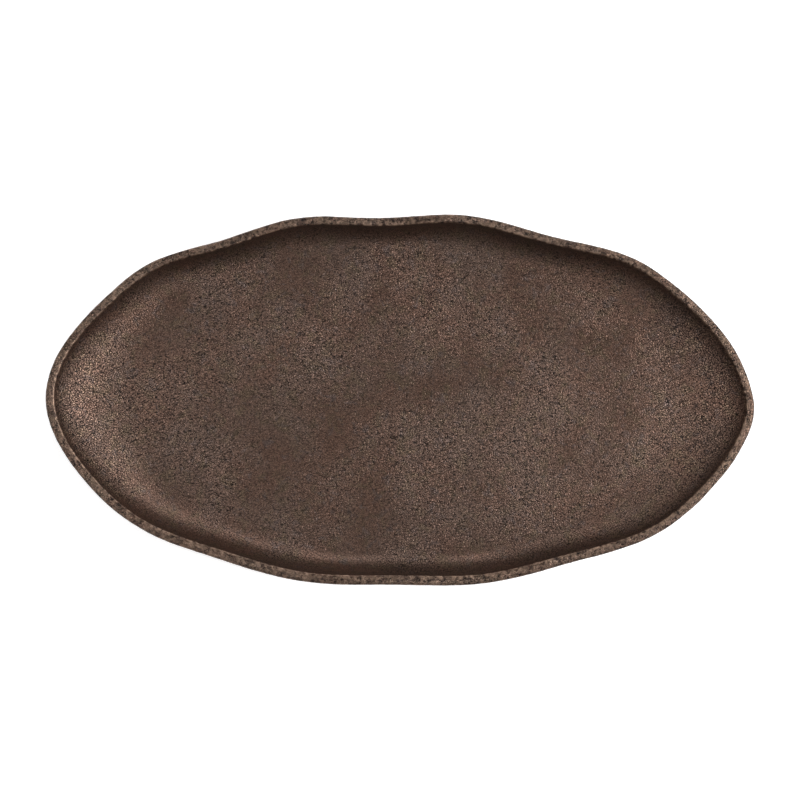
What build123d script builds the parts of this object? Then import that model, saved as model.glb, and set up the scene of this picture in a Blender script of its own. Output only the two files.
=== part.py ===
from build123d import *
import math
import os

# A wavy-edged oval serving tray: one metal casting that stands on four stick-on felt pads.
# Millimetres. +X runs along the length, +Y to the back, +Z up. The origin is under the middle
# of the tray, on the surface that the pads stand on.

# The casting
OVAL_LENGTH = 454.8          # the even oval that the wavy edge swings about
OVAL_WIDTH = 238.6
BODY_HEIGHT = 23.5           # underside of the base to the top of the rim
FLOOR_THICKNESS = 4.5
RIM_WIDTH = 6.3              # across the top of the wall, before its edges are rounded
RIM_OUTER_RADIUS = 1.8
RIM_INNER_RADIUS = 1.2
RIM_ROUNDED_SHARE = 0.86     # the most of the rim's narrowest stretch that its roundings may take
COVE_RUN_SIDE = 14.5         # from the rim's inner edge in to the flat floor, on the long sides
COVE_RUN_END = 48.0          # the same at the two ends, where the wall rises more gently
WALL_SWEEP = 78.0            # degrees that the wall turns through from the floor to the rim
WAVE_LEFT_AT_FLOOR = 0.25    # share of the rim's waves that still shows at the floor's edge
WELL_SHIFT = (0.3, 0.5)      # the hollow sits this far off centre, so the rim is thicker front left
LEVELS = 7                   # outlines from the floor up to the rim

# The edge's waves, as degrees round the oval and how far the edge stands out from it: each line
# is a crest, the dip after it and, where the slope between them is uneven, a shoulder.
WAVES = [
    (0.0, 2.1), (25.0, -1.9), (36.0, -0.7),
    (49.0, 2.3), (64.5, -1.8),
    (79.5, 2.2), (92.5, -1.5),
    (107.5, 3.4), (119.5, 0.3),
    (134.0, 4.0), (146.0, 1.1), (158.0, 0.2),
    (176.0, 2.1), (205.0, -0.2),
    (224.5, 2.6), (239.0, 0.9),
    (253.5, 3.0), (270.5, 0.6),
    (284.0, 3.2), (297.5, 1.3),
    (315.0, 5.0), (330.0, 2.4), (344.0, 1.7),
]

# The felt pads and the film that sticks each one on
PAD_DIAMETER = 20.0
FELT_THICKNESS = 2.8
FELT_EDGE_CHAMFER = 0.4
FILM_THICKNESS = 0.2
FILM_MARGIN = 0.5            # the film stops this far inside the felt's edge
PAD_ANGLE = 40.0             # where round the oval the pads sit, in each quarter
PAD_EDGE_GAP = 12.0          # from a pad's edge out to where the base starts to curve up

# Which way each pad lies from the middle
CORNERS = {
    "front_left": (-1, -1),
    "front_right": (1, -1),
    "back_left": (-1, 1),
    "back_right": (1, 1),
}

BASE_Z = FELT_THICKNESS + FILM_THICKNESS
FLOOR_Z = BASE_Z + FLOOR_THICKNESS
RIM_Z = BASE_Z + BODY_HEIGHT


def oval_point(degrees, inset_side, inset_end, bulge=0.0):
    """A point on an oval smaller than the tray's by one distance at the long sides and another
    at the ends, then moved out along the tray's own oval's normal by a bulge."""
    angle = math.radians(degrees)
    half_length = OVAL_LENGTH / 2
    half_width = OVAL_WIDTH / 2
    on_oval = Vector((half_length - inset_end) * math.cos(angle), (half_width - inset_side) * math.sin(angle))
    normal = Vector(half_width * math.cos(angle), half_length * math.sin(angle)).normalized()
    return on_oval + normal * bulge


def outline(height, inset_side, inset_end, wave_share, shift):
    """One closed, level outline of the casting's inside or outside."""
    points = [
        oval_point(degrees, inset_side, inset_end, bulge * wave_share) + Vector(*shift, height)
        for degrees, bulge in WAVES
    ]
    turns = [degrees / 360 for degrees, _ in WAVES] + [1.0]
    return Wire([Edge.make_spline(points, periodic=True, parameters=turns)])


def basin(bottom_z, top_z, top_inset, run_side, run_end, shift=(0.0, 0.0)):
    """A solid wavy-edged basin whose wall is part of an ellipse: level where it leaves the
    bottom, and steep at the top."""
    sweep = math.radians(WALL_SWEEP)
    outlines = []
    for level in range(LEVELS):
        turned = sweep * level / (LEVELS - 1)
        rise = (1 - math.cos(turned)) / (1 - math.cos(sweep))
        reach = math.sin(turned) / math.sin(sweep)
        outlines.append(outline(
            bottom_z + (top_z - bottom_z) * rise,
            top_inset + run_side * (1 - reach),
            top_inset + run_end * (1 - reach),
            WAVE_LEFT_AT_FLOOR + (1 - WAVE_LEFT_AT_FLOOR) * reach,
            shift,
        ))
    return Solid.make_loft(outlines)


def top_face(solid):
    return solid.faces().filter_by(Axis.Z).sort_by(Axis.Z)[-1]


def rounded_rim(shell):
    """The shell with the edges of its rim rounded, both eased alike if the rim is too narrow."""
    rim = top_face(shell)
    half_corner = math.radians(WALL_SWEEP / 2)
    narrowest = rim.outer_wire().distance_to(rim.inner_wires()[0])
    needed = RIM_OUTER_RADIUS / math.tan(half_corner) + RIM_INNER_RADIUS * math.tan(half_corner)
    easing = min(1.0, RIM_ROUNDED_SHARE * narrowest / needed)
    shell = fillet(rim.inner_wires()[0].edges(), RIM_INNER_RADIUS * easing)
    return fillet(top_face(shell).outer_wire().edges(), RIM_OUTER_RADIUS * easing)


def tray_body():
    """The casting: an outer basin hollowed by a parallel inner one."""
    outside = basin(BASE_Z, RIM_Z, 0.0, RIM_WIDTH + COVE_RUN_SIDE, RIM_WIDTH + COVE_RUN_END)
    well = basin(FLOOR_Z, RIM_Z, RIM_WIDTH, COVE_RUN_SIDE, COVE_RUN_END, WELL_SHIFT)
    return rounded_rim(outside - well)


def pad_centre(side_x, side_y):
    """Where a pad sits in its quarter of the base: just inside the flat, off its edge."""
    flat_gap = PAD_EDGE_GAP + PAD_DIAMETER / 2
    corner = oval_point(
        PAD_ANGLE,
        RIM_WIDTH + COVE_RUN_SIDE + flat_gap,
        RIM_WIDTH + COVE_RUN_END + flat_gap,
    )
    return corner.X * side_x, corner.Y * side_y


def felt_pad(x, y):
    """A round felt pad, standing on the ground with its lower edge eased."""
    pad = Pos(x, y, 0) * extrude(Circle(PAD_DIAMETER / 2), FELT_THICKNESS)
    return chamfer(pad.edges().group_by(Axis.Z)[0], FELT_EDGE_CHAMFER)


def adhesive_film(x, y):
    """The thin disc of film between a felt pad and the base."""
    return Pos(x, y, FELT_THICKNESS) * extrude(Circle(PAD_DIAMETER / 2 - FILM_MARGIN), FILM_THICKNESS)


def tray_parts():
    """Every piece of the tray by its node's name."""
    pieces = {"tray_body": tray_body()}
    for corner, (side_x, side_y) in CORNERS.items():
        x, y = pad_centre(side_x, side_y)
        pieces[f"felt_pad_{corner}"] = felt_pad(x, y)
        pieces[f"adhesive_film_{corner}"] = adhesive_film(x, y)
    return pieces


def main():
    os.makedirs("parts", exist_ok=True)
    pieces = tray_parts()
    middle = pieces["tray_body"].bounding_box().center()
    for name, piece in pieces.items():
        export_step(Pos(-middle.X, -middle.Y, 0) * piece, f"parts/{name}.step")


main()
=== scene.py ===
import bpy
import math
import numpy as np
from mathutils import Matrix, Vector, noise
from mathutils.geometry import delaunay_2d_cdt


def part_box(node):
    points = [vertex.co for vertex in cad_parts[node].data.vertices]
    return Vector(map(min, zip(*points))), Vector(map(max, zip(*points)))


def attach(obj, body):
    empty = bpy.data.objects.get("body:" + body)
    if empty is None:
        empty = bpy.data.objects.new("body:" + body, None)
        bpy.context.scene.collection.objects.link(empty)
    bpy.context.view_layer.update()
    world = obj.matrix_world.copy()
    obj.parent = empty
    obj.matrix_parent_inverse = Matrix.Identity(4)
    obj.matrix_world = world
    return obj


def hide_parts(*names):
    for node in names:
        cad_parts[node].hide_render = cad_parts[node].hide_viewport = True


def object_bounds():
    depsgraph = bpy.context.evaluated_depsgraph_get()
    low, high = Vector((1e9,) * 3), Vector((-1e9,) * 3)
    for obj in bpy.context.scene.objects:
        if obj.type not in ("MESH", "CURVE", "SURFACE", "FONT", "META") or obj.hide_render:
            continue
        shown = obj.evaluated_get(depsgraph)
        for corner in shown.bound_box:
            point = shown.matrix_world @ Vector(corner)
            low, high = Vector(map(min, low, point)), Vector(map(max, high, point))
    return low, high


# A cast metal tray with an aged copper finish, standing on felt pads. Metres, in the CAD model's
# frame: +X along the tray, +Y to its back, +Z up. The casting's mesh is measured off the CAD
# body, made denser, and given the uneven, pebbled skin of the real metal.

MM = 0.001
TAU = 2 * math.pi
CORNERS = ("front_left", "front_right", "back_left", "back_right")


def rgb(red, green, blue):
    return (red, green, blue, 1.0)


# How finely the casting is meshed. Rings run round it, and their distances are measured along
# the surface from the widest line of the rim.
SEGMENTS = 800               # points in each ring
RIM_SPAN = 9 * MM            # the rounded rim takes closer rings than the wall
RIM_STEP = 0.5 * MM
WALL_STEP = 1.3 * MM
TOP_SPAN = 66 * MM           # the rings of the top end here, on the flat floor
UNDER_STEP = 2.2 * MM
UNDER_SPAN = 68 * MM         # and those of the underside here, on the flat base
FLOOR_STEP = 1.5 * MM        # between points inside the last ring, on the floor
BASE_STEP = 3.0 * MM         # and on the base
MEDIAL_SHARE = 0.6           # the slices through the casting start this far along its length

# How the two sides are laid out in the square that textures bake to
UV_TOP_SCALE = 1.0
UV_UNDER_SCALE = 0.8
UV_MARGIN = 3 * MM

# How grainy, how rubbed bright (wear, painted brighter along the top rim's inner edge as its highlight)
# and how much part of the rim each side's surface is, as millimetres from the widest line of the rim
# and the amounts there
SURFACE = {
    "top": {
        "grain": ([0, 4.5, 6.0, 7.0, 9, 14], [1.0, 1.0, 0.3, 0.3, 0.7, 1.0]),
        "worn_and_highlit": ([0, 1.2, 2.6, 4.8, 6.0, 7.0, 8.5], [0.3, 0.6, 0.4, 0.5, 1.0, 0.8, 0.0]),
        "rim": ([0, 6, 9], [1.0, 1.0, 0.0]),
    },
    "under": {
        "grain": ([0, 4, 40, 53], [0.75, 0.9, 0.9, 0.55]),
        "worn_and_highlit": ([0, 1.5, 3], [0.25, 0.1, 0.0]),
        "rim": ([0, 4], [1.0, 0.0]),
    },
}
FLOOR_SEED = 11
BASE_SEED = 12

# The skin's relief: size of a lump across, half its height, and the seed that places it
SWELL = (70 * MM, 0.22 * MM, 3.1)         # the floor and walls are nowhere quite flat
DENT = (11 * MM, 0.045 * MM, 8.7)
LUMP = (4.5 * MM, 0.032 * MM, 5.3)
RIM_WOBBLE = (20 * MM, 0.28 * MM, 1.9)    # the rim was dressed by hand
RIM_NICK = (3.5 * MM, 0.12 * MM, 6.1)
PAD_CLEARANCE = 3 * MM                    # the base stays flat this far round each felt pad

# The felt pads
PAD_SEGMENTS = 120           # points round a pad
PAD_EASE = 0.06              # its edges are eased by this share of its radius
PAD_PRESSED = 0.94           # share of the radius that rests on the ground
PAD_BACKED = 0.95            # share of the radius that the film backs
BACKED_DEPTH = 0.2 * MM      # the felt holds its shape this far down from the film
FELT_TUFT = (1.3 * MM, 0.22 * MM)    # the felt's tufts: size across, and depth

# The copper. Sizes in the materials are in millimetres, and depths in metres.
COPPER_BROWN = rgb(0.092, 0.058, 0.044)
COPPER_RED = rgb(0.106, 0.060, 0.043)
COPPER_OLIVE = rgb(0.089, 0.062, 0.039)
COPPER_GREY = rgb(0.087, 0.063, 0.056)
# bright copper: the rim's wear, the painted highlight along its inner edge and the painted glints on
# the bumps at the ends
COPPER_WEAR_AND_HIGHLIGHT = rgb(0.42, 0.28, 0.20)
PEBBLE_SIZE = 1.5
RIPPLE_SIZE = 0.8
GRAIN_DEPTH = 0.00020
GRAIN_DARK = 0.1             # how much of its colour the metal keeps in its pits
GLINT_GAIN = 2.05            # and how much more it has on its bumps, as painted glints
DARKEST = 0.06               # the deepest pits still keep this much of it
END_GRAIN_AND_GLINT_SPAN = (150, 200)      # the tray's ends, between these distances from its middle, get stronger grain and bright bumps, a painted highlight of the raking light
SCUFF_DEPTH = 0.00050        # on the rim
METALLIC = 0.76

# The felt, the film and the paper
FELT_DARK = rgb(0.012, 0.009, 0.007)
FELT_MID = rgb(0.055, 0.040, 0.032)
FELT_PALE = rgb(0.085, 0.066, 0.055)
FILM_CLEAN = rgb(0.66, 0.60, 0.44)
FILM_DUSTY = rgb(0.40, 0.34, 0.24)
PAPER_WHITE = rgb(0.93, 0.93, 0.93)

# The studio: soft square panels as (degrees round from +X, degrees down from straight above,
# share of the light)
PANELS = [
    (0, 43, 1.05), (45, 50, 0.30), (90, 55, 0.26), (135, 55, 0.09), (315, 50, 0.16), (225, 55, 0.06),
    (180, 34, 0.30), (225, 30, 0.07),
]
PANEL_DISTANCE = 2.0
PANEL_SIZE = 0.8
PANEL_POWER = 30.0
WORLD_STRENGTH = 0.24
PAPER_GLOW = 0.50            # the pale floor is lit from beneath too, as on a light table
PAPER_SIZE = 30

# The camera
CAMERA_DISTANCE = 2.4        # above the top of the rim
VIEW_WIDTH = 0.5155          # how much of the tray's plane the picture is wide
SENSOR_WIDTH = 36            # millimetres


# ---------------------------------------------------------------- measuring the CAD body

def mesh_arrays(obj):
    """The vertex places and the triangles of a CAD node."""
    mesh = obj.data
    mesh.calc_loop_triangles()
    places = np.empty(len(mesh.vertices) * 3)
    mesh.vertices.foreach_get("co", places)
    corners = np.empty(len(mesh.loop_triangles) * 3, dtype=np.int64)
    mesh.loop_triangles.foreach_get("vertices", corners)
    return places.reshape(-1, 3), corners.reshape(-1, 3)


def facing_edges(places, corners, sign):
    """The edges of the triangles that look up (sign 1) or down (sign -1)."""
    first, second, third = (places[corners[:, k]] for k in range(3))
    looks = np.cross(second - first, third - first)[:, 2] * sign > 0
    kept = corners[looks]
    sides = np.concatenate([kept[:, [0, 1]], kept[:, [1, 2]], kept[:, [2, 0]]])
    return np.unique(np.sort(sides, axis=1), axis=0)


def slice_profile(places, edges, foot, outward):
    """Where a vertical half-plane crosses the edges: distances out from its foot, and heights,
    from the outside in."""
    flat = places[:, :2] - foot
    side = flat @ np.array([-outward[1], outward[0]])
    out = flat @ outward
    start, end = edges[:, 0], edges[:, 1]
    crossed = (side[start] > 0) != (side[end] > 0)
    start, end = start[crossed], end[crossed]
    share = side[start] / (side[start] - side[end])
    reach = out[start] + share * (out[end] - out[start])
    height = places[start, 2] + share * (places[end, 2] - places[start, 2])
    ahead = reach > 0
    order = np.argsort(-reach[ahead])
    return reach[ahead][order], height[ahead][order]


def walk(reach, height, stations):
    """Points at the given distances along a profile that starts at the widest line."""
    reach = np.append(reach, 0.0)
    height = np.append(height, height[-1])
    travelled = np.append(0.0, np.cumsum(np.hypot(np.diff(reach), np.diff(height))))
    return np.interp(stations, travelled, reach), np.interp(stations, travelled, height)


def top_stations():
    rim = np.arange(0, RIM_SPAN, RIM_STEP)
    wall_steps = round((TOP_SPAN - RIM_SPAN) / WALL_STEP)
    return np.append(rim, np.linspace(RIM_SPAN, TOP_SPAN, wall_steps + 1))


def under_stations():
    return np.linspace(0, UNDER_SPAN, round(UNDER_SPAN / UNDER_STEP) + 1)


def ring_places(body, low, high):
    """The rings of the top and of the underside, as arrays of ring, point and coordinate, with
    each ring's places if the wall were folded out flat."""
    places, corners = mesh_arrays(body)
    half_length = (high.x - low.x) / 2
    half_width = (high.y - low.y) / 2
    rings = []
    for sign, stations in ((1, top_stations()), (-1, under_stations())):
        edges = facing_edges(places, corners, sign)
        solid = np.empty((len(stations), SEGMENTS, 3))
        unfolded = np.empty((len(stations), SEGMENTS, 2))
        for i in range(SEGMENTS):
            angle = TAU * i / SEGMENTS
            rim = np.array([half_length * math.cos(angle), half_width * math.sin(angle)])
            foot = np.array([MEDIAL_SHARE * rim[0], 0.0])
            outward = (rim - foot) / np.linalg.norm(rim - foot)
            reach, height = walk(*slice_profile(places, edges, foot, outward), stations)
            solid[:, i, :2] = foot + reach[:, None] * outward
            solid[:, i, 2] = height
            unrolled = reach[-1] + stations[-1] - stations
            unfolded[:, i] = foot + unrolled[:, None] * outward
        rings.append((solid, unfolded, stations))
    return rings


# ---------------------------------------------------------------- the casting's mesh

def inside_points(ring, step, seed):
    """Evenly scattered points inside a ring, clear of its edge."""
    angles = np.arctan2(ring[:, 1], ring[:, 0])
    radii = np.hypot(ring[:, 0], ring[:, 1])
    order = np.argsort(angles)
    angles, radii = angles[order], radii[order]
    rng = np.random.default_rng(seed)
    row_height = step * math.sqrt(3) / 2
    points = []
    rows = np.arange(ring[:, 1].min(), ring[:, 1].max(), row_height)
    for row, y in enumerate(rows):
        xs = np.arange(ring[:, 0].min(), ring[:, 0].max(), step) + (row % 2) * step / 2
        points.append(np.column_stack([xs, np.full(len(xs), y)]))
    points = np.concatenate(points)
    points += rng.uniform(-0.18, 0.18, points.shape) * step
    edge = np.interp(np.arctan2(points[:, 1], points[:, 0]), angles, radii, period=TAU)
    return points[np.hypot(points[:, 0], points[:, 1]) < edge - 0.7 * step]


def filled(ring, step, seed):
    """The extra points inside a ring, and triangles over the ring's points and those."""
    extra = inside_points(ring, step, seed)
    points = [Vector(p) for p in np.concatenate([ring, extra])]
    outline = list(range(len(ring)))
    _, _, faces, originals, _, _ = delaunay_2d_cdt(points, [], [outline], 1, 1e-9)
    return extra, [[originals[v][0] for v in face] for face in faces]


def ring_quads(first, second):
    """Quads between two rings of vertex numbers, looking up if the second is the inner one."""
    following = np.roll(first, -1), np.roll(second, -1)
    return np.column_stack([first, following[0], following[1], second])


class Casting:
    """Gathers the casting's vertices, faces, unfolded places and surface amounts."""

    def __init__(self):
        self.places = []
        self.amounts = {"grain": [], "worn_and_highlit": [], "rim": [], "under": []}
        self.faces = []
        self.layout = []
        self.count = 0

    def add_points(self, places, grain, worn_and_highlit, rim, under):
        numbers = np.arange(self.count, self.count + len(places))
        self.places.append(places)
        for name, value in (("grain", grain), ("worn_and_highlit", worn_and_highlit), ("rim", rim), ("under", under)):
            self.amounts[name].append(np.full(len(places), value))
        self.count += len(places)
        return numbers

    def add_faces(self, faces, layout, flip):
        """Faces with the place of each of their corners in the texture square."""
        for face, corners in zip(faces, layout):
            self.faces.append(face[::-1] if flip else face)
            self.layout.extend(corners[::-1] if flip else corners)


def surface_amounts(side, station):
    """How grainy, how rubbed bright by wear and painted highlight, and how much part of the rim the
    surface is, by how far it is from the widest line."""
    return [np.interp(station / MM, *SURFACE[side][name]) for name in ("grain", "worn_and_highlit", "rim")]


def add_side(casting, rings, side, shared, step, seed):
    """Adds the rings of one side and the filling inside the last of them."""
    solid, unfolded, stations = rings
    under = 0.0 if side == "top" else 1.0
    flip = side != "top"
    scale = UV_TOP_SCALE if side == "top" else UV_UNDER_SCALE
    numbers = []
    for ring, station in enumerate(stations):
        if ring == 0 and shared is not None:
            numbers.append(shared)
        else:
            numbers.append(casting.add_points(solid[ring], *surface_amounts(side, station), under))
    for ring in range(len(stations) - 1):
        flat = unfolded[ring] * scale, unfolded[ring + 1] * scale
        corners = np.stack([flat[0], np.roll(flat[0], -1, 0), np.roll(flat[1], -1, 0), flat[1]], axis=1)
        casting.add_faces(ring_quads(numbers[ring], numbers[ring + 1]).tolist(), corners.tolist(), flip)
    last = solid[-1]
    extra, triangles = filled(last[:, :2], step, seed)
    height = np.full((len(extra), 1), last[:, 2].mean())
    inner = casting.add_points(np.hstack([extra, height]), *surface_amounts(side, stations[-1]), under)
    every = np.concatenate([numbers[-1], inner])
    flat = np.concatenate([last[:, :2], extra]) * scale
    faces = [[int(every[v]) for v in triangle] for triangle in triangles]
    casting.add_faces(faces, [flat[triangle].tolist() for triangle in triangles], flip)
    return numbers[0]


def texture_square(layout, under_start):
    """Moves the unfolded top and underside into one square, the top above the underside."""
    layout = np.array(layout)
    top, under = layout[:under_start], layout[under_start:]
    height = np.ptp(top[:, 1]) + np.ptp(under[:, 1]) + UV_MARGIN
    side = max(np.ptp(top[:, 0]), height) + 2 * UV_MARGIN
    top += np.array([side / 2, side - UV_MARGIN]) - np.array([0, top[:, 1].max()])
    under += np.array([side / 2, UV_MARGIN]) - np.array([0, under[:, 1].min()])
    return np.concatenate([top, under]) / side


def lumpy(place, kind):
    """Smooth lumps of a kind, standing in or out by up to its height."""
    size, height, seed = kind
    return height * noise.noise(Vector(place) / size + Vector((seed, seed * 1.7, seed * 0.3)))


def pad_fade(place, pad_boxes):
    """0 where a felt pad or its film lies against the base, and 1 well away from it."""
    fade = 1.0
    for centre, radius in pad_boxes:
        gap = math.hypot(place[0] - centre.x, place[1] - centre.y) - radius
        fade = min(fade, max(0.0, min(1.0, gap / PAD_CLEARANCE)))
    return fade


def relief(place, rim, under, pad_boxes):
    """How far the skin stands out from the plain casting at a place. The underside is set back,
    so that no lump reaches below the plain base."""
    swell, dent, lump, wobble, nick = (
        lumpy(place, kind) for kind in (SWELL, DENT, LUMP, RIM_WOBBLE, RIM_NICK)
    )
    stands = (1 - rim) * (swell + dent + lump) + rim * (wobble + nick)
    if under:
        stands = (stands - SWELL[1] - DENT[1] - LUMP[1]) * pad_fade(place, pad_boxes)
    return stands


def linked(name, data):
    """A new object in the scene, of a mesh, a light or a camera."""
    holder = bpy.data.objects.new(name, data)
    bpy.context.scene.collection.objects.link(holder)
    return holder


def build_casting(body, pad_boxes):
    """The casting as one closed, dense mesh with its skin's relief."""
    low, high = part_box("tray_body")
    top, under = ring_places(body, low, high)
    casting = Casting()
    widest = add_side(casting, top, "top", None, FLOOR_STEP, FLOOR_SEED)
    under_start = len(casting.layout)
    add_side(casting, under, "under", widest, BASE_STEP, BASE_SEED)
    mesh = bpy.data.meshes.new("tray_casting")
    places = np.concatenate(casting.places)
    mesh.from_pydata(places.tolist(), [], casting.faces)
    mesh.update()
    normals = np.empty(len(places) * 3)
    mesh.vertex_normals.foreach_get("vector", normals)
    normals = normals.reshape(-1, 3)
    rim = np.concatenate(casting.amounts["rim"])
    below = np.concatenate(casting.amounts["under"])
    for i, place in enumerate(places.tolist()):
        places[i] += normals[i] * relief(place, rim[i], below[i], pad_boxes)
    mesh.vertices.foreach_set("co", places.ravel())
    for name, values in casting.amounts.items():
        layer = mesh.attributes.new(name, "FLOAT", "POINT")
        layer.data.foreach_set("value", np.concatenate(values))
    uv = mesh.uv_layers.new(name="OFBake")
    uv.data.foreach_set("uv", texture_square(casting.layout, under_start).ravel())
    mesh.polygons.foreach_set("use_smooth", [True] * len(mesh.polygons))
    mesh.update()
    return linked("tray_casting", mesh)


# ---------------------------------------------------------------- the felt pads

def pad_profile(radius, thickness):
    """A felt pad's outline from the middle of its underside round to the middle of its top."""
    ease = PAD_EASE * radius
    underside = [(radius * share, 0.0) for share in np.linspace(0, PAD_PRESSED, 20)]
    lower = [
        (radius - ease * (1 - math.sin(turn)), ease * (1 - math.cos(turn)))
        for turn in np.linspace(0.15, math.pi / 2, 5)
    ]
    side = [(radius, height) for height in np.linspace(2 * ease, thickness - ease, 7)]
    upper = [
        (radius - ease * (1 - math.cos(turn)) * 0.5, thickness - ease * (1 - math.sin(turn)))
        for turn in np.linspace(0.3, math.pi / 2, 4)
    ]
    topside = [(radius * share, thickness) for share in np.linspace(PAD_BACKED, 0, 20)]
    return underside + lower + side + upper + topside


def felt_fuzz(place, radius, middle, thickness):
    """How far a point of the felt sinks in: loose at its edge, and flat where the film backs it."""
    from_middle = math.hypot(place.x - middle.x, place.y - middle.y) / radius
    if place.z > thickness - BACKED_DEPTH and from_middle < PAD_BACKED:
        return 0.0
    loose = 0.25 + 0.75 * max(0.0, min(1.0, (from_middle - 0.9) / 0.08))
    size, depth = FELT_TUFT
    tufts = noise.noise(place / size) + 0.6 * noise.noise(place / (size * 0.4))
    return depth * loose * (1.1 + tufts) / 2


def turned(profile, middle):
    """The points and faces of a profile turned round an upright axis, closed at both ends."""
    points = [
        Vector((middle.x + out * math.cos(turn), middle.y + out * math.sin(turn), height))
        for out, height in profile[1:-1]
        for turn in (TAU * i / PAD_SEGMENTS for i in range(PAD_SEGMENTS))
    ]
    points += [Vector((middle.x, middle.y, height)) for height in (profile[0][1], profile[-1][1])]
    faces = []
    rings = len(profile) - 2
    for ring in range(rings - 1):
        first, second = ring * PAD_SEGMENTS, (ring + 1) * PAD_SEGMENTS
        for i in range(PAD_SEGMENTS):
            j = (i + 1) % PAD_SEGMENTS
            faces.append((first + i, first + j, second + j, second + i))
    last = (rings - 1) * PAD_SEGMENTS
    for i in range(PAD_SEGMENTS):
        j = (i + 1) % PAD_SEGMENTS
        faces.append((len(points) - 2, j, i))
        faces.append((last + i, last + j, len(points) - 1))
    return points, faces


def build_pad(corner):
    """One pressed felt pad, as a closed round mesh with a tufted edge."""
    low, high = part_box(f"felt_pad_{corner}")
    middle = (low + high) / 2
    radius = (high.x - low.x) / 2
    points, faces = turned(pad_profile(radius, high.z), middle)
    heart = Vector((middle.x, middle.y, high.z / 2))
    for point in points:
        inward = heart - point
        point += inward.normalized() * felt_fuzz(point, radius, middle, high.z)
    mesh = bpy.data.meshes.new(f"felt_{corner}")
    mesh.from_pydata([tuple(point) for point in points], [], faces)
    mesh.polygons.foreach_set("use_smooth", [True] * len(mesh.polygons))
    mesh.update()
    return linked(f"felt_{corner}", mesh)


# ---------------------------------------------------------------- materials

class Tree:
    """A material's nodes, with short calls that add to them."""

    def __init__(self, name):
        self.material = bpy.data.materials.new(name)
        self.material.use_nodes = True
        self.nodes = self.material.node_tree.nodes
        self.links = self.material.node_tree.links
        self.shader = self.nodes["Principled BSDF"]

    def add(self, kind, settings=None, **inputs):
        """Adds a node; an input is a value or another node's output."""
        node = self.nodes.new("ShaderNode" + kind)
        for key, value in (settings or {}).items():
            setattr(node, key, value)
        for key, value in inputs.items():
            self.feed(node.inputs[key.replace("_", " ")], value)
        return node

    def feed(self, socket, value):
        if isinstance(value, bpy.types.NodeSocket):
            self.links.new(value, socket)
        else:
            socket.default_value = value

    def set(self, **inputs):
        """Feeds the shader's own inputs."""
        for key, value in inputs.items():
            self.feed(self.shader.inputs[key.replace("_", " ")], value)

    def place(self):
        """The place on the object, in millimetres."""
        coordinates = self.nodes.new("ShaderNodeTexCoord")
        scaled = self.add("VectorMath", {"operation": "SCALE"}, Vector=coordinates.outputs["Object"])
        scaled.inputs["Scale"].default_value = 1 / MM
        return scaled.outputs["Vector"]

    def along(self, place):
        """How far a place is from the object's middle along its length."""
        parts = self.add("SeparateXYZ", None, Vector=place)
        return self.maths("ABSOLUTE", parts.outputs["X"])

    def noise(self, place, size, detail=2.0, roughness=0.5, distortion=0.0):
        """Cloudy noise with features of a size in millimetres."""
        node = self.add("TexNoise", None, Vector=place, Scale=1 / size, Detail=detail,
                        Roughness=roughness, Distortion=distortion)
        return node.outputs["Fac"]

    def cells(self, place, size):
        """Distance to the nearest border between cells of a size in millimetres."""
        node = self.add("TexVoronoi", {"feature": "DISTANCE_TO_EDGE"}, Vector=place, Scale=1 / size)
        return node.outputs["Distance"]

    def attribute(self, name):
        return self.add("Attribute", {"attribute_name": name}).outputs["Fac"]

    def span(self, value, low, high, to_low=0.0, to_high=1.0):
        """Maps a value from one range to another, and keeps it there."""
        node = self.nodes.new("ShaderNodeMapRange")
        self.feed(node.inputs["Value"], value)
        node.inputs["From Min"].default_value = low
        node.inputs["From Max"].default_value = high
        self.feed(node.inputs["To Min"], to_low)
        self.feed(node.inputs["To Max"], to_high)
        return node.outputs["Result"]

    def maths(self, operation, first, second=0.0):
        node = self.nodes.new("ShaderNodeMath")
        node.operation = operation
        self.feed(node.inputs[0], first)
        self.feed(node.inputs[1], second)
        return node.outputs["Value"]

    def mix(self, share, first, second, blend="MIX"):
        """Mixes two colours."""
        node = self.nodes.new("ShaderNodeMix")
        node.data_type = "RGBA"
        node.blend_type = blend
        self.feed(node.inputs["Factor"], share)
        self.feed(node.inputs[6], first)
        self.feed(node.inputs[7], second)
        return node.outputs[2]

    def bump(self, height, depth, strength=1.0, normal=None):
        """Relief in the surface's shading, its depth in metres."""
        node = self.add("Bump", None, Height=height, Distance=depth, Strength=strength)
        if normal is not None:
            self.feed(node.inputs["Normal"], normal)
        return node.outputs["Normal"]


def patina(tree, place, clouds, patches):
    """The copper's mottled colour, before its grain darkens it."""
    tints = tree.noise(place, 6.0, 2.0, 0.6, 1.0)
    colour = tree.mix(tree.span(clouds, 0.36, 0.64), COPPER_RED, COPPER_BROWN)
    colour = tree.mix(tree.span(patches, 0.50, 0.66, 0.0, 0.6), colour, COPPER_OLIVE)
    return tree.mix(tree.span(tints, 0.56, 0.72, 0.0, 0.7), colour, COPPER_GREY)


def pebbles(tree, place):
    """The height of the casting's fine grain: pebbles with creases between them, and ripples."""
    crease = tree.span(tree.cells(place, PEBBLE_SIZE), 0.0, 0.16)
    ripples = tree.noise(place, RIPPLE_SIZE, 1.0, 0.5)
    return tree.maths("ADD", tree.maths("MULTIPLY", crease, 0.30), ripples)


def grain_strength(tree, place, ends):
    """How strongly the grain shows: unevenly over the tray, and more at its ends, where its stronger
    colour is a painted highlight of the raking light.
    """
    uneven = tree.span(tree.noise(place, 60.0, 2.0), 0.35, 0.65, 0.7, 1.35)
    # the stronger colour contrast of the grain at the ends is a painted highlight of the raking light
    # there
    uneven = tree.maths("ADD", uneven, tree.maths("MULTIPLY", ends, 0.5))
    return tree.maths("MULTIPLY", tree.attribute("grain"), uneven)


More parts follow.
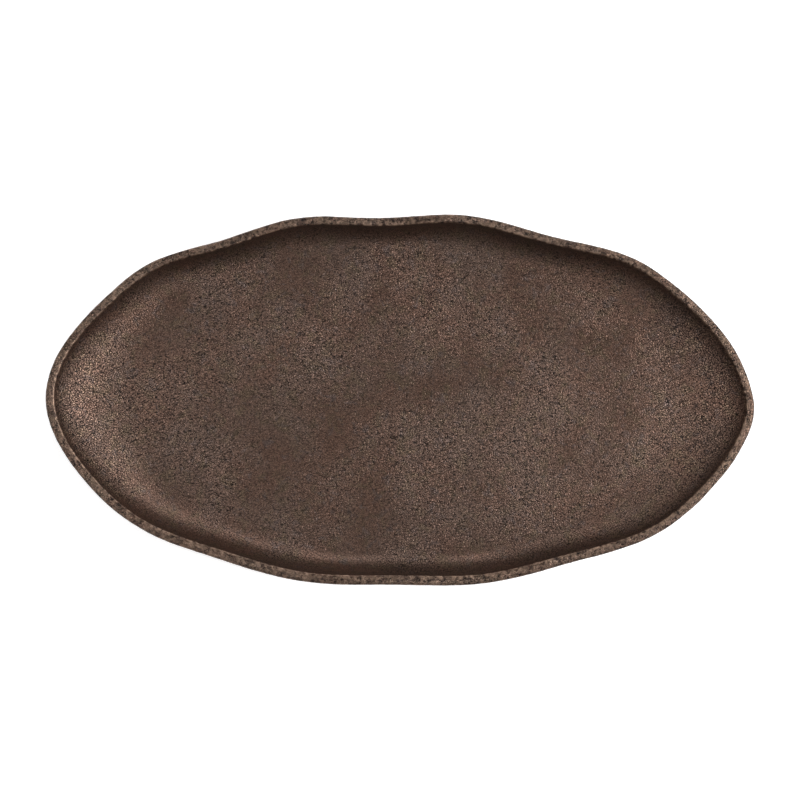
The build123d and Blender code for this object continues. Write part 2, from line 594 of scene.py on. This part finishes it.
def pits_glints_and_speckles(tree, place, colour, grain, grain_share, rim):
    """The colour dimmed in the grain's pits, painted lighter on its bumps as glints, and speckled along
    the rim.
    """
    # the pits keep the patina's dark; the bumps are painted lighter, as glints
    shade = tree.span(grain, 0.40, 1.10, GRAIN_DARK, GLINT_GAIN)
    change = tree.maths("MULTIPLY", tree.maths("SUBTRACT", shade, 1.0), grain_share)
    shade = tree.maths("MAXIMUM", tree.maths("ADD", 1.0, change), DARKEST)
    colour = tree.mix(1.0, colour, shade, "MULTIPLY")
    speckle = tree.span(tree.noise(place, 1.6, 3.0, 0.7, 0.4), 0.38, 0.62, 0.05, 1.0)
    return tree.mix(rim, colour, tree.mix(1.0, colour, speckle, "MULTIPLY"))


def wear_and_highlights(tree, grain, patches, scuffs, ends):
    """Where the metal is painted bright: along the rim, by wear and as the highlight of its inner edge,
    and on the bumps at the ends, as glints of the raking light.
    """
    # the rim is painted bright where handling wore it and, at its inner edge, as the highlight that
    # edge catches
    rim_wear_and_highlight = tree.maths("MULTIPLY", tree.attribute("worn_and_highlit"), tree.span(scuffs, 0.42, 0.62))
    # the bumps at the ends are painted bright, as glints of the raking light there
    peaks = tree.maths("MULTIPLY", tree.span(grain, 0.78, 0.98), tree.span(patches, 0.40, 0.60))
    end_share = tree.maths("MULTIPLY", peaks, tree.maths("MULTIPLY", ends, 0.55))
    return tree.maths("MAXIMUM", tree.maths("MULTIPLY", rim_wear_and_highlight, 0.6), end_share)


def aged_copper():
    """Cast metal with a dark copper patina: finely pebbled, darker in its pits, mottled, painted
    lighter on its bumps as glints, rubbed lighter along the rim's inner edge and painted brighter there
    as its highlight, and with stronger grain and bright bumps painted at the tray's two ends as the
    highlight of the raking light."""
    tree = Tree("aged_copper")
    place = tree.place()
    rim = tree.attribute("rim")
    ends = tree.span(tree.along(place), *END_GRAIN_AND_GLINT_SPAN)
    clouds = tree.noise(place, 30.0, 3.0, 0.55, 0.3)
    patches = tree.noise(place, 9.0, 3.0, 0.6, 0.6)
    scuffs = tree.noise(place, 3.0, 4.0, 0.65, 0.5)
    grain = pebbles(tree, place)
    grain_share = grain_strength(tree, place, ends)

    colour = patina(tree, place, clouds, patches)
    colour = pits_glints_and_speckles(tree, place, colour, grain, grain_share, rim)
    # painted highlight: bright copper along the rim and on the bumps at the ends
    colour = tree.mix(wear_and_highlights(tree, grain, patches, scuffs, ends), colour, COPPER_WEAR_AND_HIGHLIGHT)
    roughness = tree.span(clouds, 0.3, 0.7, 0.29, 0.35)
    rim_normal = tree.bump(scuffs, SCUFF_DEPTH, tree.maths("MULTIPLY", rim, 0.8))
    normal = tree.bump(grain, GRAIN_DEPTH, grain_share, rim_normal)
    tree.set(Base_Color=colour, Roughness=roughness, Normal=normal)
    tree.shader.inputs["Metallic"].default_value = METALLIC
    return tree.material


def felt():
    """Pressed dark brown wool."""
    tree = Tree("felt")
    place = tree.place()
    fibres = tree.noise(place, 0.5, 4.0, 0.7, 2.5)
    tufts = tree.noise(place, 2.2, 3.0, 0.6, 0.8)
    colour = tree.mix(tree.span(fibres, 0.35, 0.65), FELT_DARK, FELT_MID)
    colour = tree.mix(tree.span(tufts, 0.45, 0.7, 0.0, 0.5), colour, FELT_PALE)
    normal = tree.bump(fibres, 0.0004, 0.9)
    tree.set(Base_Color=colour, Roughness=tree.span(fibres, 0.3, 0.7, 0.85, 1.0), Normal=normal)
    tree.shader.inputs["Sheen Weight"].default_value = 0.15
    tree.shader.inputs["Sheen Roughness"].default_value = 0.5
    return tree.material


def adhesive():
    """Thin, slightly yellowed acrylic film with specks of dust in it."""
    tree = Tree("adhesive")
    place = tree.place()
    specks = tree.noise(place, 0.8, 3.0, 0.6)
    colour = tree.mix(tree.span(specks, 0.5, 0.75), FILM_CLEAN, FILM_DUSTY)
    normal = tree.bump(specks, 0.00005, 0.5)
    tree.set(Base_Color=colour, Roughness=tree.span(specks, 0.3, 0.7, 0.25, 0.45), Normal=normal)
    return tree.material


def floor_paper():
    """The plain pale floor."""
    tree = Tree("floor_paper")
    tooth = tree.noise(tree.place(), 1.2, 2.0)
    tree.set(Base_Color=PAPER_WHITE, Roughness=0.9, Normal=tree.bump(tooth, 0.00002, 0.3))
    tree.shader.inputs["Emission Color"].default_value = (1, 1, 1, 1)
    tree.shader.inputs["Emission Strength"].default_value = PAPER_GLOW
    return tree.material


# ---------------------------------------------------------------- the scene round the tray

def add_floor():
    bpy.ops.mesh.primitive_plane_add(size=PAPER_SIZE, location=(0, 0, 0))
    floor = bpy.context.object
    floor.name = "floor"
    floor.data.materials.append(floor_paper())


def add_panel(index, azimuth, polar, power):
    """A soft square light that faces the tray from a direction: degrees round from +X, and
    degrees down from straight above."""
    light = bpy.data.lights.new(f"panel_{index}", "AREA")
    light.shape = "SQUARE"
    light.size = PANEL_SIZE
    light.energy = power * PANEL_POWER
    around, down = math.radians(azimuth), math.radians(polar)
    way = Vector((math.sin(down) * math.cos(around), math.sin(down) * math.sin(around), math.cos(down)))
    holder = linked(light.name, light)
    holder.location = way * PANEL_DISTANCE
    holder.rotation_euler = way.to_track_quat("Z", "Y").to_euler()


def add_lights():
    for index, panel in enumerate(PANELS):
        add_panel(index, *panel)
    world = bpy.data.worlds.new("studio")
    world.use_nodes = True
    backdrop = world.node_tree.nodes["Background"]
    backdrop.inputs["Color"].default_value = (1, 1, 1, 1)
    backdrop.inputs["Strength"].default_value = WORLD_STRENGTH
    bpy.context.scene.world = world
    bpy.context.scene.view_settings.view_transform = "Standard"


def add_camera():
    """Straight above the tray, far off, as a catalogue shows it."""
    camera = bpy.data.cameras.new("camera")
    camera.sensor_width = SENSOR_WIDTH
    camera.lens = SENSOR_WIDTH * CAMERA_DISTANCE / VIEW_WIDTH
    holder = linked("camera", camera)
    holder.location = (0, 0, CAMERA_DISTANCE + CAD_BOX[1].z)
    bpy.context.scene.camera = holder


# ---------------------------------------------------------------- the pieces

def pad_footprints():
    """The centre and radius of each felt pad's top."""
    prints = []
    for corner in CORNERS:
        low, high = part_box(f"felt_pad_{corner}")
        prints.append(((low + high) / 2, (high.x - low.x) / 2))
    return prints


def make_casting():
    piece = build_casting(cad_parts["tray_body"], pad_footprints())
    piece.data.materials.append(aged_copper())
    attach(piece, "root")
    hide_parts("tray_body")


def dress(node, material):
    """Gives a CAD node that keeps its shape its material."""
    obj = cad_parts[node]
    obj.data.materials.clear()
    obj.data.materials.append(material)


def make_pads():
    felt_material = felt()
    film_material = adhesive()
    for corner in CORNERS:
        piece = build_pad(corner)
        piece.data.materials.append(felt_material)
        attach(piece, "root")
        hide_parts(f"felt_pad_{corner}")
        dress(f"adhesive_film_{corner}", film_material)


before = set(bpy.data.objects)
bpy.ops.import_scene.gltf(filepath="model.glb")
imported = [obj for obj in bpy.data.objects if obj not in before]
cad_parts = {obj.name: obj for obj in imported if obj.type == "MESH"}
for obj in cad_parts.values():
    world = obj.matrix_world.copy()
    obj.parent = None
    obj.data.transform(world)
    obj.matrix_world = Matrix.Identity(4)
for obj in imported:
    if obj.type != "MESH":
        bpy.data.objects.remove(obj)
CAD_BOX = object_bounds()
add_camera()
add_lights()
add_floor()
make_casting()
make_pads()
